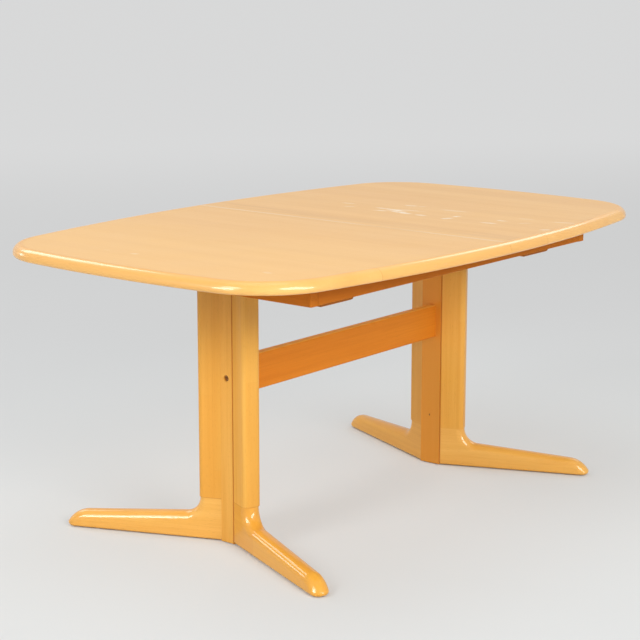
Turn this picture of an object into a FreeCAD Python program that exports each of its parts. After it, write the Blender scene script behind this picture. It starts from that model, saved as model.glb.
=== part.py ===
import FreeCAD, Part
import math
import os
import re

import Sketcher

doc = FreeCAD.newDocument("extending_dining_table")

# Driving dimensions in millimetres and degrees.
# Frame: X along the table, near end at minus X; Y across, left side at plus Y; Z up from the floor.
rows = [
    ("top_len", 1600, "length of the closed top"),
    ("top_wid", 1000, "width of the top at the seam, and length of the leaf"),
    ("top_t", 28, "thickness of the top"),
    ("top_z", 720, "height of the top above the floor"),
    ("side_arc_r", 3600, "radius of the bowed long edges"),
    ("end_arc_r", 2700, "radius of the bowed ends"),
    ("corner_r", 190, "radius of the plan corners"),
    ("seam_gap", 0.6, "gap between the closed halves"),
    ("lip_w", 24, "width of the solid lipping"),
    ("lip_top_r", 20, "upper rounding of the lipping"),
    ("lip_low_r", 7, "lower rounding of the lipping"),
    ("lip_joint_near", 462, "butt joint of the lipping on the near half"),
    ("lip_joint_far", 170, "butt joint of the lipping on the far half"),
    ("lip_top_share", 0.72, "largest part of the thickness for the upper rounding"),
    ("lip_low_share", 0.26, "largest part of the thickness for the lower rounding"),
    ("lip_edge_share", 0.84, "largest part of the lipping's width for the upper rounding"),
    ("apron_h", 53, "height of the rails under the top"),
    ("end_rail_t", 25, "thickness of an end rail"),
    ("side_rail_t", 22, "thickness of a side rail"),
    ("top_gap", 1, "room between a side rail and the sliding top"),
    ("rail_end_gap", 1, "room between a side rail and an end rail"),
    ("rail_edge_r", 2.5, "rounding of the rail edges"),
    ("leaf_wid", 500, "width of the leaf"),
    ("leaf_end_room", 48, "room beyond each end of the stored leaf"),
    ("leaf_side_room", 15, "room beside the stored leaf"),
    ("leaf_top_room", 7, "room above the stored leaf"),
    ("pull_room", 10, "extra pull of each half so that the pins clear the leaf"),
    ("runner_w", 24, "width of a runner"),
    ("runner_gap", 1, "side room of a runner"),
    ("runner_lift", 1, "room between a runner and the cross rails"),
    ("runner_reach", 280, "length of a runner past the seam"),
    ("runner_relief", 1, "room between a runner and the other half"),
    ("guide_w", 25, "width of a guide bar"),
    ("guide_end_room", 62, "distance from a guide bar's end to the end rail"),
    ("tongue_h", 8, "height of a tongue"),
    ("tongue_in", 6, "depth of a tongue in its runner"),
    ("tongue_out", 8, "stand-out of a tongue from its runner"),
    ("tongue_back", 150, "tongue length on its own half's side of the seam"),
    ("tongue_fore", 262, "tongue length past the seam"),
    ("tongue_up", 14, "height of a tongue's middle above the cross rails"),
    ("tongue_gap", 0.3, "room above, below and behind a tongue in its groove"),
    ("stop_gap", 0.5, "room left at each end of a groove"),
    ("cross_t", 18, "thickness of a cross rail"),
    ("bearer_t", 22, "thickness of a bearer"),
    ("bearer_w", 115, "width of bearer and cross rail"),
    ("bearer_len", 626, "length of a bearer"),
    ("bearer_r", 7, "lower rounding of a bearer"),
    ("bearer_room", 20, "least room between a bearer and an end rail"),
    ("bearer_end_room", 10, "least distance from a guide screw to a bearer's end"),
    ("splay", 22.7, "angle of the legs from the crosswise line"),
    ("post_in_x", 395, "distance of a post's inner face from the middle"),
    ("post_in_w", 63, "width of a post's inner face"),
    ("post_taper", 15.5, "angle of a post's side faces from the lengthwise line"),
    ("joint_room", 10, "length of a leg that is trimmed to the post's side face"),
    ("post_groove", 2.5, "width of the open joint line beside a post"),
    ("leg_t", 45, "thickness of columns and feet"),
    ("leg_w", 61.5, "width of a column"),
    ("leg_joint_z", 106, "height of the joint between foot and column"),
    ("edge_r", 14, "rounding of the columns"),
    ("foot_edge_r", 20.5, "rounding of the feet"),
    ("leg_edge_share", 0.46, "largest part of a leg's thickness for its rounding"),
    ("foot_z", 2.2, "height of the underside of a foot"),
    ("foot_len", 412, "length of a foot from its joint to the toe"),
    ("foot_root_z", 66, "height of the foot's back where it meets the column"),
    ("sweep_r", 40, "radius of the sweep from column to foot"),
    ("toe_back", 28, "rake of the toe"),
    ("toe_z", 41.5, "height of the foot's back at the toe"),
    ("toe_r", 64, "rounding from the foot's back to the toe"),
    ("toe_share", 1.65, "largest rounding of the toe, as a part of the toe's height"),
    ("toe_edge_share", 0.53, "largest part of the toe's height for the foot's rounding"),
    ("sole_r", 7, "rounding of the foot's lower edges"),
    ("glide_r", 12, "radius of a floor glide"),
    ("glide_back", 66, "distance of a glide's middle from the toe tip"),
    ("nail_r", 1.2, "radius of a glide nail"),
    ("nail_head_r", 3, "radius of a nail head"),
    ("nail_head_h", 1, "height of a nail head"),
    ("nail_len", 18, "length of a glide nail"),
    ("nail_sink", 0.5, "depth of a nail head in the glide"),
    ("stretcher_t", 25, "thickness of the stretcher"),
    ("stretcher_h", 88, "height of the stretcher"),
    ("stretcher_z", 403, "height of the stretcher's middle"),
    ("stretcher_r", 4, "rounding of the stretcher's edges"),
    ("bolt_r", 4, "radius of a stretcher bolt"),
    ("bolt_head_r", 6.5, "radius of a bolt head"),
    ("bolt_head_h", 7, "height of a bolt head"),
    ("bolt_key_r", 3.2, "corner radius of the key socket"),
    ("bolt_key_h", 4, "depth of the key socket"),
    ("bolt_sink", 12, "depth of the sunk hole for a bolt head"),
    ("bolt_hole_r", 7.6, "radius of the sunk hole"),
    ("bolt_in", 52, "length of a bolt in the stretcher"),
    ("washer_t", 1.5, "thickness of a washer"),
    ("washer_r", 7.3, "radius of a washer"),
    ("nut_r", 6, "radius of a barrel nut"),
    ("nut_len", 18, "length of a barrel nut"),
    ("nut_back", 36, "distance of a barrel nut from the stretcher's end"),
    ("dowel_r", 5, "radius of a dowel"),
    ("dowel_in", 13, "depth of a dowel in a post or rail"),
    ("dowel_out", 20, "depth of a dowel in the joined piece"),
    ("dowel_step", 28, "spacing of the paired dowels"),
    ("small_dowel_r", 4, "radius of a frame dowel"),
    ("leg_low_dowel_z", 58, "height of the dowel in a foot"),
    ("leg_mid_dowel_z", 240, "height of the lower dowel in a column"),
    ("leg_high_dowel_z", 520, "height of the upper dowel in a column"),
    ("leg_dowel_room", 40, "least distance of this dowel from the column's top"),
    ("screw_r", 2.4, "radius of a wood screw"),
    ("screw_head_r", 4.6, "radius of a screw head"),
    ("screw_head_h", 3.5, "height of a screw head"),
    ("leg_screw_len", 70, "length of the screws in posts and columns"),
    ("cross_screw_len", 30, "length of the screws in the cross rails"),
    ("cross_screw_sink", 5, "depth of their heads in a bearer"),
    ("cross_screw_x", 38, "offset of these screws from the bearer's middle line"),
    ("cross_screw_y", 220, "distance of these screws from the table's middle line"),
    ("guide_screw_len", 60, "length of the screws in the guide bars"),
    ("guide_screw_sink", 5, "depth of their heads in a bearer"),
    ("top_screw_in", 15, "depth of a screw in the top"),
    ("top_screw_len", 34, "length of the screws in the top"),
    ("runner_screw_step", 230, "spacing of the screws in a runner"),
    ("runner_screw_off", 60, "distance of the first runner screw from the seam"),
    ("runner_screw_end", 20, "least distance of the last runner screw from the runner's end"),
    ("rail_screw_y", 230, "distance of the outer end rail screws from the middle line"),
    ("rail_screw_in_y", 80, "distance of the inner end rail screws from the middle line"),
    ("pin_r", 4, "radius of a seam pin"),
    ("pin_in", 18, "depth of a pin in its own piece"),
    ("pin_out", 10, "stand-out of a pin"),
    ("pin_y", 130, "distance of the inner pins from the middle line"),
    ("pin_out_y", 390, "distance of the outer pins from the middle line"),
    ("pin_edge_room", 10, "least room between an outer bush and the lipping"),
    ("bush_r", 6, "outer radius of a pin bush"),
    ("bush_len", 14, "length of a pin bush"),
    ("bush_gap", 0.35, "radial room of a pin in its bush"),
    ("hook_reach", 56, "distance from a hook's pivot to its stud"),
    ("hook_tip", 10, "length of a hook past its stud"),
    ("hook_w", 17, "width of a hook"),
    ("hook_t", 3, "thickness of a hook"),
    ("hook_room", 6, "room between an open hook and the side rail"),
    ("hook_hang", 1, "room between a hook and the top"),
    ("hook_gap", 0.1, "radial room of a hook on its pivot"),
    ("hook_play", 0.3, "room above and below a hook"),
    ("slot_gap", 1.1, "room beside the stud in a hook's notch"),
    ("pivot_r", 3, "radius of pivots and studs"),
    ("pivot_in", 14, "depth of pivots and studs in the top"),
    ("pivot_head_r", 6, "radius of the heads of pivots and studs"),
    ("pivot_head_h", 2.4, "height of the heads of pivots and studs"),
    ("fit_gap", 0.1, "room around glued and driven pieces"),
    ("overrun", 20, "length by which a cutter runs past a face"),
]
sheet = doc.addObject("Spreadsheet::Sheet", "Sizes")
value = {}
for row, (alias, number, note) in enumerate(rows, start=1):
    sheet.set("A%d" % row, alias)
    sheet.set("B%d" % row, str(number))
    sheet.setAlias("B%d" % row, alias)
    sheet.set("C%d" % row, note)
    value[alias] = number
doc.recompute()

# Sizes that follow from the driving ones.
derived = {
    "half_len": "top_len/2",
    "half_wid": "top_wid/2",
    "under_z": "top_z - top_t",
    "mid_top_z": "top_z - top_t/2",
    "rail_z": "under_z - apron_h",
    "cross_top_z": "under_z - leaf_top_room - top_t",
    "cross_low_z": "cross_top_z - cross_t",
    "leg_top_z": "cross_low_z - bearer_t",
    "high_dowel_z": "min(leg_high_dowel_z; leg_top_z - leg_dowel_room)",
    "post_depth": "leg_t/(cos(splay) + tan(post_taper)*sin(splay))",
    "post_out_x": "post_in_x + post_depth",
    "post_mid_x": "post_in_x + post_depth/2",
    "post_out_half": "post_in_w/2 - post_depth*tan(post_taper)",
    "post_mid_y": "post_in_w/2 - post_depth*tan(post_taper)/2",
    "frame_in_x": "max(half_wid + leaf_end_room; post_mid_x + bearer_w/2 + bearer_room)",
    "frame_out_x": "frame_in_x + end_rail_t",
    "inner_in_y": "leaf_wid/2 + leaf_side_room",
    "inner_out_y": "inner_in_y + runner_w",
    "guide_in_y": "inner_out_y + runner_gap",
    "guide_out_y": "guide_in_y + guide_w",
    "guide_mid_y": "guide_in_y + guide_w/2",
    "bearer_half": "max(bearer_len/2; guide_mid_y + bearer_end_room)",
    "outer_in_y": "guide_out_y + runner_gap",
    "outer_out_y": "outer_in_y + runner_w",
    "rail_in_y": "outer_out_y + runner_gap",
    "rail_out_y": "rail_in_y + side_rail_t",
    "runner_low_z": "cross_top_z + runner_lift",
    "tongue_z": "cross_top_z + tongue_up",
    "guide_end_x": "frame_in_x - guide_end_room",
    "pull": "leaf_wid/2 + pull_room",
    "pin_far_y": "min(pin_out_y; half_wid - lip_w - bush_r - pin_edge_room)",
    "latch_y": "rail_out_y + hook_room + hook_w/2",
    "hook_top_z": "under_z - hook_hang",
    "hook_low_z": "hook_top_z - hook_t",
    "screw_top_z": "under_z + top_screw_in",
}
words = re.compile(r"[a-z][a-z_]*")


def tied(text):
    def swap(found):
        word = found.group(0)
        if word in derived:
            return "(%s)" % tied(derived[word])
        if word in value:
            return "Sizes." + word
        return word
    return words.sub(swap, text)


def tie(thing, prop, text):
    thing.setExpression(prop, tied(text))


def signed(sign, text):
    return text if sign > 0 else "-(%s)" % text


def span(sign, low, high):
    return (low, high) if sign > 0 else ("-(%s)" % high, "-(%s)" % low)


def around(middle, half):
    return ("(%s) - (%s)" % (middle, half), "(%s) + (%s)" % (middle, half))


def block(name, xs, ys, zs):
    made = doc.addObject("Part::Box", name)
    for prop, axis, (low, high) in zip(("Length", "Width", "Height"), "xyz", (xs, ys, zs)):
        tie(made, prop, "(%s) - (%s)" % (high, low))
        tie(made, "Placement.Base." + axis, low)
    return made


turns = {
    "z": FreeCAD.Rotation(),
    "x": FreeCAD.Rotation(FreeCAD.Vector(0, 1, 0), 90),
    "y": FreeCAD.Rotation(FreeCAD.Vector(1, 0, 0), -90),
}


def rod(name, radius, axis, start, end, at):
    # A round bar along one axis from start to end; at holds the two other coordinates.
    made = doc.addObject("Part::Cylinder", name)
    tie(made, "Radius", radius)
    tie(made, "Height", "(%s) - (%s)" % (end, start))
    made.Placement = FreeCAD.Placement(FreeCAD.Vector(), turns[axis])
    tie(made, "Placement.Base." + axis, start)
    for other, text in zip([one for one in "xyz" if one != axis], at):
        tie(made, "Placement.Base." + other, text)
    return made


def fused(name, items):
    made = doc.addObject("Part::MultiFuse", name)
    made.Shapes = items
    return made


def shared(name, items):
    made = doc.addObject("Part::MultiCommon", name)
    made.Shapes = items
    return made


def cut(name, base, tools):
    made = doc.addObject("Part::Cut", name)
    made.Base = base
    made.Tool = tools[0] if len(tools) == 1 else fused(name + "_cutter", tools)
    return made


def group(name, items):
    made = doc.addObject("Part::Compound", name)
    made.Links = items
    return made


def edges_where(shape, test):
    return [place for place, edge in enumerate(shape.Edges, start=1) if test(edge)]


def eased(name, base, size, test):
    # Rounds the edges of a piece that pass the test, which also gets the middle of the piece.
    doc.recompute()
    made = doc.addObject("Part::Fillet", name)
    made.Base = base
    centre = base.Shape.BoundBox.Center
    made.Edges = [(place, size, size) for place in edges_where(base.Shape, lambda edge: test(edge, centre))]
    return made


def middle_of(edge):
    return edge.valueAt((edge.FirstParameter + edge.LastParameter) / 2)


def runs_along(edge, axis):
    ends = [vertex.Point for vertex in edge.Vertexes]
    if len(ends) < 2:
        return False
    way = ends[1] - ends[0]
    return abs(getattr(way, axis)) > way.Length * straight_share


straight_share = 0.999


def outline_body(name, plane, points, depth, symmetric):
    # A body padded from a closed outline of straight lines.
    body = doc.addObject("PartDesign::Body", name)
    sketch = body.newObject("Sketcher::SketchObject", name + "_sketch")
    face = [one for one in body.Origin.OriginFeatures if one.Role == plane][0]
    sketch.AttachmentSupport = [(face, "")]
    sketch.MapMode = "FlatFace"
    count = len(points)
    guess = []
    for place in range(count):
        angle = 2 * math.pi * (place + 1 / 3) / count
        guess.append(FreeCAD.Vector(math.cos(angle), math.sin(angle), 0) * value["leg_w"])
    for place in range(count):
        sketch.addGeometry(Part.LineSegment(guess[place], guess[(place + 1) % count]), False)
    for place in range(count):
        sketch.addConstraint(Sketcher.Constraint("Coincident", place, 2, (place + 1) % count, 1))
    for place, (across, up) in enumerate(points):
        for kind, text, axis, start in (
            ("DistanceX", across, -2, guess[place].x),
            ("DistanceY", up, -1, guess[place].y),
        ):
            if text == "0":
                sketch.addConstraint(Sketcher.Constraint("PointOnObject", place, 1, axis))
            else:
                number = sketch.addConstraint(Sketcher.Constraint(kind, -1, 1, place, 1, start))
                tie(sketch, "Constraints[%d]" % number, text)
    pad = body.newObject("PartDesign::Pad", name + "_pad")
    pad.Profile = sketch
    if symmetric:
        pad.SideType = "Symmetric"
    tie(pad, "Length", depth)
    doc.recompute()
    return body


def dressed(body, kind, name, prop, radius, test):
    # Adds a fillet or chamfer to the body's last feature.
    base = body.Tip
    made = body.newObject("PartDesign::" + kind, name)
    made.Base = (base, ["Edge%d" % place for place in edges_where(base.Shape, test)])
    tie(made, prop, radius)
    body.Tip = made
    doc.recompute()
    return made


pieces = {}


def keep(label, thing):
    thing.Label = label
    pieces[label] = thing
    return thing


ends = (("near", -1), ("far", 1))
sides = (("left", 1), ("right", -1))


def leg_place(thing, end, side):
    # Stands a piece made along X at the joint of a post, turned to the leg's direction.
    turn = {(1, 1): "90 - splay", (-1, 1): "90 + splay", (1, -1): "270 + splay", (-1, -1): "270 - splay"}
    across = signed(end, "post_mid_x")
    along = signed(side, "post_mid_y")
    text = "placement(vector(%s; %s; 0); rotation(vector(0; 0; 1); %s))"
    tie(thing, "Placement", text % (across, along, turn[(end, side)]))
    return thing


def leg_dowel_rods(name, radius):
    # Two dowels from post to column, one from post to foot, two standing in the joint of foot and column.
    made = []
    heights = (("low", "leg_low_dowel_z"), ("mid", "leg_mid_dowel_z"), ("high", "high_dowel_z"))
    for spot, height in heights:
        made.append(rod(name + "_" + spot, radius, "x", "-dowel_in", "dowel_out", ("0", height)))
    for spot, across in (("root", "leg_w/2 - dowel_step/4"), ("back", "leg_w/2 + dowel_step/2")):
        low, high = around("leg_joint_z", "dowel_out")
        made.append(rod(name + "_" + spot, radius, "z", low, high, (across, "0")))
    return made


def screw(name, way, face, length, at):
    # A wood screw; face is the height of the outer face of its head, way is up or down.
    sign = 1 if way == "up" else -1
    head = [face, "(%s) + (%s)" % (face, signed(sign, "screw_head_h"))]
    shank = [face, "(%s) + (%s)" % (face, signed(sign, length))]
    if sign < 0:
        head.reverse()
        shank.reverse()
    return fused(name, [
        rod(name + "_head", "screw_head_r", "z", head[0], head[1], at),
        rod(name + "_shank", "screw_r", "z", shank[0], shank[1], at),
    ])


def screw_hole(name, way, face, length, at, sink):
    # The hole of a screw; sink is the depth of the head below the surface it enters.
    sign = 1 if way == "up" else -1
    out = "(%s) - (%s)" % (face, signed(sign, "%s + overrun" % sink))
    head = [out, "(%s) + (%s)" % (face, signed(sign, "screw_head_h + fit_gap"))]
    shank = [face, "(%s) + (%s)" % (face, signed(sign, "%s + fit_gap" % length))]
    if sign < 0:
        head.reverse()
        shank.reverse()
    return [
        rod(name + "_head", "screw_head_r + fit_gap", "z", head[0], head[1], at),
        rod(name + "_shank", "screw_r + fit_gap", "z", shank[0], shank[1], at),
    ]


# Columns and feet: straight boards with rounded outer edges, set at the splay angle.
def column(name):
    points = [
        ("-joint_room", "-(leg_t/2)"),
        ("leg_w", "-(leg_t/2)"),
        ("leg_w", "leg_t/2"),
        ("-joint_room", "leg_t/2"),
    ]
    body = outline_body(name, "XY_Plane", points, "leg_top_z - leg_joint_z", False)
    limit = value["leg_w"] / 2
    dressed(body, "Fillet", name + "_round", "Radius", "min(edge_r; leg_t * leg_edge_share)",
            lambda edge: runs_along(edge, "z") and middle_of(edge).x > limit)
    tie(body, "Placement.Base.z", "leg_joint_z")
    return body


def foot(name):
    points = [
        ("-joint_room", "foot_z"),
        ("foot_len", "foot_z"),
        ("foot_len - toe_back", "toe_z"),
        ("leg_w", "foot_root_z"),
        ("leg_w", "leg_joint_z"),
        ("-joint_room", "leg_joint_z"),
    ]
    body = outline_body(name, "XZ_Plane", points, "leg_t", True)
    near_zero = value["fit_gap"]
    root = FreeCAD.Vector(value["leg_w"], 0, value["foot_root_z"])
    back = FreeCAD.Vector(value["foot_len"] - value["toe_back"], 0, value["toe_z"])
    dressed(body, "Fillet", name + "_sweep", "Radius", "min(sweep_r; leg_joint_z - foot_root_z)",
            lambda edge: (middle_of(edge) - root).Length < near_zero)
    dressed(body, "Fillet", name + "_toe", "Radius", "min(toe_r; (toe_z - foot_z) * toe_share)",
            lambda edge: (middle_of(edge) - back).Length < near_zero)

    def outer(edge):
        spot = middle_of(edge)
        flat = all(abs(abs(one.Point.y) - value["leg_t"] / 2) < near_zero for one in edge.Vertexes)
        low = value["foot_z"] + near_zero
        high = value["leg_joint_z"] - near_zero
        clear = abs(spot.y) > near_zero and spot.x > near_zero - value["joint_room"]
        return flat and clear and low < spot.z < high

    dressed(body, "Fillet", name + "_round", "Radius",
            "min(foot_edge_r; leg_t * leg_edge_share; (toe_z - foot_z) * toe_edge_share)", outer)

    def sole(edge):
        spot = middle_of(edge)
        return abs(spot.z - value["foot_z"]) < near_zero and spot.x > near_zero

    dressed(body, "Fillet", name + "_sole", "Radius", "sole_r", sole)
    return body


glides = []
nails = []
for end_name, end in ends:
    rods = []
    hollows = []
    for side_name, side in sides:
        name = "%s_%s" % (end_name, side_name)
        holes = leg_dowel_rods(name + "_dowel_hole", "dowel_r + fit_gap")
        dowel_set = group(name + "_dowel_set", leg_dowel_rods(name + "_dowel", "dowel_r"))
        rods.append(leg_place(dowel_set, end, side))
        hollows.append(leg_place(group(name + "_dowel_hollow", holes[:3]), end, side))
        trim = block(name + "_trim_block", ("-joint_room - overrun", "0"), ("-leg_t", "leg_t"),
                     ("0", "top_z"))
        trim = group(name + "_trim", [trim])
        tie(trim, "Placement", "placement(vector(0; 0; 0); rotation(vector(0; 0; 1); %s))"
            % signed(end * side, "splay - post_taper"))
        at = ("leg_w/2", "0")
        top_hole = screw_hole(name + "_top_hole", "down", "cross_low_z", "leg_screw_len", at, "0")
        made = cut(name + "_column_cut", column(name + "_column_board"), holes[1:] + [top_hole[1], trim])
        keep(name + "_column", leg_place(made, end, side))
        spot = ("foot_len - glide_back", "0")
        nail_hole = rod(name + "_nail_hole", "nail_r + fit_gap", "z", "0",
                        "nail_sink + nail_len + fit_gap", spot)
        made = cut(name + "_foot_cut", foot(name + "_foot_board"),
                   [holes[0], holes[3], holes[4], nail_hole, trim])
        keep(name + "_foot", leg_place(made, end, side))
        head_hole = rod(name + "_head_hole", "nail_head_r + fit_gap", "z", "-overrun",
                        "nail_sink + nail_head_h", spot)
        disc = rod(name + "_disc", "glide_r", "z", "0", "foot_z", spot)
        glides.append(leg_place(cut(name + "_glide", disc, [head_hole, nail_hole]), end, side))
        head = rod(name + "_nail_head", "nail_head_r", "z", "nail_sink", "nail_sink + nail_head_h",
                   spot)
        shank = rod(name + "_nail_shank", "nail_r", "z", "nail_sink", "nail_sink + nail_len", spot)
        nails.append(leg_place(fused(name + "_nail", [head, shank]), end, side))
    keep(end_name + "_leg_dowels", group(end_name + "_dowels", rods))

    # Centre post: a tapered strip between the two legs, with a sunk bolt hole.
    corners = [
        ("post_in_x", "-(post_in_w/2)"),
        ("post_out_x", "-post_out_half"),
        ("post_out_x", "post_out_half"),
        ("post_in_x", "post_in_w/2"),
    ]
    strip = outline_body(end_name + "_strip", "XY_Plane", corners, "leg_top_z - foot_z", False)
    dressed(strip, "Chamfer", end_name + "_open_joint", "Size", "post_groove",
            lambda edge: runs_along(edge, "z") and middle_of(edge).y * end < 0)
    tie(strip, "Placement", "placement(vector(0; 0; foot_z); rotation(vector(0; 0; 1); %s))"
        % ("0" if end > 0 else "180"))
    middle = ("0", "stretcher_z")
    tools = list(hollows)
    low, high = span(end, "post_out_x - bolt_sink", "post_out_x + overrun")
    tools.append(rod(end_name + "_bolt_sink_hole", "bolt_hole_r", "x", low, high, middle))
    low, high = span(end, "post_in_x - overrun", "post_out_x")
    tools.append(rod(end_name + "_bolt_hole", "bolt_r + fit_gap", "x", low, high, middle))
    for step in (-1, 1):
        low, high = span(end, "post_in_x - overrun", "post_in_x + dowel_in + fit_gap")
        tools.append(rod("%s_post_dowel_hole_%s" % (end_name, "up" if step > 0 else "low"),
                         "dowel_r + fit_gap", "x", low, high,
                         ("0", "stretcher_z + (%s)" % signed(step, "dowel_step"))))
    tools.append(screw_hole(end_name + "_post_screw_hole", "down", "cross_low_z", "leg_screw_len",
                            (signed(end, "post_mid_x"), "0"), "0")[1])
    keep(end_name + "_post", cut(end_name + "_post_cut", strip, tools))
keep("floor_glides", group("glide_set", glides))
keep("glide_nails", group("nail_set", nails))

# Stretcher between the posts, drawn up by a bolt and barrel nut at each end and located by dowels.
bar = block("stretcher_bar", ("-post_in_x", "post_in_x"), ("-stretcher_t/2", "stretcher_t/2"),
            around("stretcher_z", "stretcher_h/2"))
bar = eased("stretcher_round", bar, value["stretcher_r"], lambda edge, centre: runs_along(edge, "x"))
tools = []
bolts = []
washers = []
nuts = []
dowels = []
for end_name, end in ends:
    middle = ("0", "stretcher_z")
    name = end_name + "_bolt"
    low, high = span(end, "post_in_x - bolt_in - fit_gap", "post_in_x + overrun")
    tools.append(rod(name + "_bore", "bolt_r + fit_gap", "x", low, high, middle))
    nut_at = (signed(end, "post_in_x - nut_back"), "stretcher_z")
    tools.append(rod(end_name + "_nut_hole", "nut_r + fit_gap", "y", "-(nut_len/2) - fit_gap",
                     "stretcher_t/2 + overrun", nut_at))
    seat = "post_out_x - bolt_sink"
    low, high = span(end, "post_in_x - bolt_in", "%s + washer_t + bolt_head_h" % seat)
    shank = rod(name + "_shank", "bolt_r", "x", low, high, middle)
    low, high = span(end, "%s + washer_t" % seat, "%s + washer_t + bolt_head_h" % seat)
    head = rod(name + "_head", "bolt_head_r", "x", low, high, middle)
    key = doc.addObject("Part::Prism", name + "_key")
    key.Polygon = 6
    tie(key, "Circumradius", "bolt_key_r")
    tie(key, "Height", "bolt_key_h + overrun")
    key.Placement = FreeCAD.Placement(FreeCAD.Vector(), turns["x"])
    low, high = span(end, "%s + washer_t + bolt_head_h - bolt_key_h" % seat,
                     "%s + washer_t + bolt_head_h + overrun" % seat)
    tie(key, "Placement.Base.x", low)
    tie(key, "Placement.Base.z", "stretcher_z")
    bolts.append(cut(name + "_made", fused(name + "_solid", [shank, head]), [key]))
    low, high = span(end, seat, "%s + washer_t" % seat)
    ring = rod(end_name + "_washer_disc", "washer_r", "x", low, high, middle)
    eye_low, eye_high = span(end, "post_in_x", "post_out_x")
    eye = rod(end_name + "_washer_eye", "bolt_r + fit_gap", "x", eye_low, eye_high, middle)
    washers.append(cut(end_name + "_washer", ring, [eye]))
    barrel = rod(end_name + "_barrel", "nut_r", "y", "-(nut_len/2)", "nut_len/2", nut_at)
    low, high = span(end, "post_in_x - bolt_in - overrun", "post_in_x")
    thread = rod(end_name + "_thread", "bolt_r + fit_gap", "x", low, high, middle)
    nuts.append(cut(end_name + "_nut", barrel, [thread]))
    for step in (-1, 1):
        name = "%s_stretcher_dowel_%s" % (end_name, "up" if step > 0 else "low")
        at = ("0", "stretcher_z + (%s)" % signed(step, "dowel_step"))
        low, high = span(end, "post_in_x - dowel_out", "post_in_x + dowel_in")
        dowels.append(rod(name, "dowel_r", "x", low, high, at))
        low, high = span(end, "post_in_x - dowel_out - fit_gap", "post_in_x + overrun")
        tools.append(rod(name + "_hole", "dowel_r + fit_gap", "x", low, high, at))
keep("stretcher", cut("stretcher_cut", bar, tools))
keep("stretcher_bolts", group("bolt_set", bolts))
keep("bolt_washers", group("washer_set", washers))
keep("barrel_nuts", group("nut_set", nuts))
keep("stretcher_dowels", group("stretcher_dowel_set", dowels))

# Bearers on the pedestals and cross rails on the bearers, with their screws.
leg_screws = []
cross_screws = []
guide_screws = []
guide_holes = {"left": [], "right": []}
rail_holes = {"left": [], "right": []}
rail_dowels = []
for end_name, end in ends:
    across = around(signed(end, "post_mid_x"), "bearer_w/2")
    plank = block(end_name + "_bearer_plank", across, ("-bearer_half", "bearer_half"),
                  ("leg_top_z", "cross_low_z"))
    plank = eased(end_name + "_bearer_round", plank, value["bearer_r"],
                  lambda edge, centre: middle_of(edge).z < centre.z)
    plank_tools = []
    cross_tools = []
    spots = [("post", signed(end, "post_mid_x"), "0")]
    for side_name, side in sides:
        reach = "post_mid_x + leg_w/2*sin(splay)"
        spread = "post_mid_y + leg_w/2*cos(splay)"
        spots.append((side_name, signed(end, reach), signed(side, spread)))
    for spot, x_at, y_at in spots:
        name = "%s_%s_leg_screw" % (end_name, spot)
        leg_screws.append(screw(name, "down", "cross_low_z", "leg_screw_len", (x_at, y_at)))
        plank_tools += screw_hole(name + "_hole", "down", "cross_low_z", "leg_screw_len", (x_at, y_at), "0")
    for side_name, side in sides:
        for step in (-1, 1):
            name = "%s_%s_cross_screw_%s" % (end_name, side_name, "out" if step * end > 0 else "in")
            x_at = "(%s) + (%s)" % (signed(end, "post_mid_x"), signed(step, "cross_screw_x"))
            at = (x_at, signed(side, "cross_screw_y"))
            face = "leg_top_z + cross_screw_sink"
            cross_screws.append(screw(name, "up", face, "cross_screw_len", at))
            hole = screw_hole(name + "_hole", "up", face, "cross_screw_len", at, "cross_screw_sink")
            plank_tools += hole
            cross_tools += hole[1:]
            name = "%s_%s_rail_dowel_%s" % (end_name, side_name, "out" if step * end > 0 else "in")
            at = (x_at, "cross_low_z + cross_t/2")
            low, high = span(side, "rail_in_y - dowel_out", "rail_in_y + dowel_in")
            rail_dowels.append(rod(name, "small_dowel_r", "y", low, high, at))
            low, high = span(side, "rail_in_y - dowel_out - fit_gap", "rail_in_y + dowel_in + fit_gap")
            hole = rod(name + "_hole", "small_dowel_r + fit_gap", "y", low, high, at)
            cross_tools.append(hole)
            rail_holes[side_name].append(hole)
        name = "%s_%s_guide_screw" % (end_name, side_name)
        at = (signed(end, "post_mid_x"), signed(side, "guide_mid_y"))
        face = "leg_top_z + guide_screw_sink"
        guide_screws.append(screw(name, "up", face, "guide_screw_len", at))
        hole = screw_hole(name + "_hole", "up", face, "guide_screw_len", at, "guide_screw_sink")
        plank_tools += hole
        cross_tools += hole[1:]
        guide_holes[side_name] += hole[1:]
    keep(end_name + "_bearer", cut(end_name + "_bearer_cut", plank, plank_tools))
    board = block(end_name + "_cross_board", across, ("-rail_in_y", "rail_in_y"),
                  ("cross_low_z", "cross_top_z"))
    keep(end_name + "_cross_rail", cut(end_name + "_cross_cut", board, cross_tools))
keep("pedestal_screws", group("leg_screw_set", leg_screws))
keep("cross_rail_screws", group("cross_screw_set", cross_screws))
keep("guide_screws", group("guide_screw_set", guide_screws))
keep("side_rail_dowels", group("rail_dowel_set", rail_dowels))

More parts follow.
